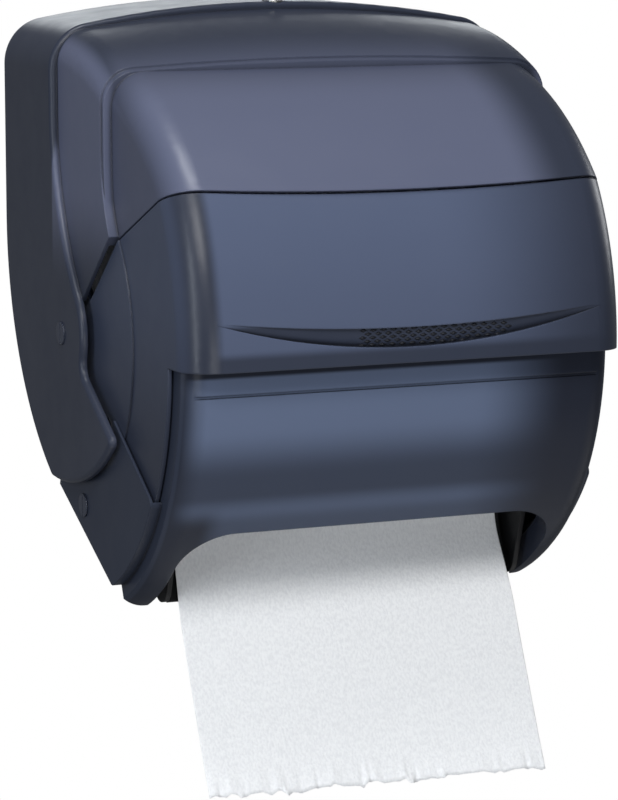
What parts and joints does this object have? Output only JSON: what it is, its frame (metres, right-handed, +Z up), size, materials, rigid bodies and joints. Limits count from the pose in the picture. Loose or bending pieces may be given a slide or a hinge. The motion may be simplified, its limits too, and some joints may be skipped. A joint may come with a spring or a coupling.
{
  "type": "lever towel dispenser",
  "caption": "Wall-mounted paper towel dispenser with a stepped smoky plastic cover, a wide push lever across the front that feeds the towel, and a hinged, locking cover over the roll.",
  "frame": {"origin": "middle of the four wall screw holes, on the wall face of the wall plate", "axes": "+X to the right seen from the front, +Y into the wall, +Z up"},
  "size_m": [0.2936, 0.292, 0.4487],
  "materials": {
    "cover_plastic": "smoky dark blue-grey, satin gloss",
    "chassis_plastic": "black moulded",
    "arm_plastic": "pale grey moulded",
    "steel": "plain zinc-plated steel",
    "rubber": "ground rubber",
    "paper": "white crepe paper",
    "card": "brown card tube",
    "lock_metal": "nickel-plated"
  },
  "bodies": {
    "chassis": {"wall_plate": "chassis_plastic", "side_frame_left": "chassis_plastic", "side_frame_right": "chassis_plastic", "frame_screws_left": "steel", "frame_screws_right": "steel", "sector_stud": "steel", "feed_bush_left": "chassis_plastic", "feed_bush_right": "chassis_plastic", "hinge_pin_left": "cover_plastic", "hinge_pin_right": "cover_plastic", "paper_guide": "chassis_plastic", "tear_bar": "chassis_plastic", "tear_blade": "steel", "arm_pin_left": "steel", "arm_pin_right": "steel", "lock_catch": "chassis_plastic", "towel_sheet": "paper"},
    "cover": {"upper_cover": "cover_plastic", "lower_cover": "cover_plastic", "lever_pin_left": "cover_plastic", "lever_pin_right": "cover_plastic"},
    "lever": {"lever": "cover_plastic"},
    "drive": {"drive_sector": "chassis_plastic"},
    "feed": {"feed_shaft": "steel", "feed_core": "chassis_plastic", "feed_sleeve_left": "rubber", "feed_sleeve_middle": "rubber", "feed_sleeve_right": "rubber", "drive_pinion": "chassis_plastic"},
    "pinch": {"pinch_roller": "arm_plastic", "pinch_shaft": "steel"},
    "roll": {"towel_roll": "paper", "roll_core": "card"},
    "arm_left": {"roll_arm_left": "arm_plastic", "roll_hub_left": "arm_plastic"},
    "arm_right": {"roll_arm_right": "arm_plastic", "roll_hub_right": "arm_plastic"},
    "lock": {"lock_barrel": "lock_metal", "lock_cam": "steel"}
  },
  "joints": [
    {"name": "cover_hinge", "type": "hinge", "parent": "chassis", "child": "cover", "pos_m": [0, -0.124, -0.1613], "axis": [1, 0, 0], "range_deg": [0, 100], "deforming": ["towel_sheet"]},
    {"name": "lever_pivot", "type": "hinge", "parent": "cover", "child": "lever", "pos_m": [0, -0.107, -0.06], "axis": [1, 0, 0], "range_deg": [0, 22], "stiffness_Nm_per_rad": 1.5, "springref_deg": -28.65},
    {"name": "drive_pivot", "type": "hinge", "parent": "chassis", "child": "drive", "pos_m": [0, -0.107, -0.06], "axis": [1, 0, 0], "range_deg": [0, 22]},
    {"name": "feed_spin", "type": "hinge", "parent": "chassis", "child": "feed", "pos_m": [0, -0.19923, -0.12701], "axis": [1, 0, 0], "range_deg": [-134.75, 0]},
    {"name": "pinch_spin", "type": "hinge", "parent": "chassis", "child": "pinch", "pos_m": [0, -0.16923, -0.12701], "axis": [1, 0, 0], "range_deg": [0, 220.5]},
    {"name": "roll_spin", "type": "hinge", "parent": "chassis", "child": "roll", "pos_m": [0, -0.112, 0.01], "axis": [1, 0, 0], "range_deg": [0, 25.27]},
    {"name": "arm_left_swing", "type": "hinge", "parent": "chassis", "child": "arm_left", "pos_m": [-0.1085, -0.0073, 0.01], "axis": [0, 0, -1], "range_deg": [0, 8], "stiffness_Nm_per_rad": 1, "springref_deg": -17.19},
    {"name": "arm_right_swing", "type": "hinge", "parent": "chassis", "child": "arm_right", "pos_m": [0.1085, -0.0073, 0.01], "axis": [0, 0, 1], "range_deg": [0, 8], "stiffness_Nm_per_rad": 1, "springref_deg": -17.19},
    {"name": "lock_turn", "type": "hinge", "parent": "cover", "child": "lock", "pos_m": [0, -0.083, 0.126], "axis": [0, 0, -1], "range_deg": [0, 90]}
  ],
  "couplings": [
    {"joint": "drive_pivot", "follows": "lever_pivot", "ratio": 1},
    {"joint": "feed_spin", "follows": "lever_pivot", "ratio": -6.125},
    {"joint": "pinch_spin", "follows": "lever_pivot", "ratio": 10.023},
    {"joint": "roll_spin", "follows": "lever_pivot", "ratio": 1.1484}
  ]
}
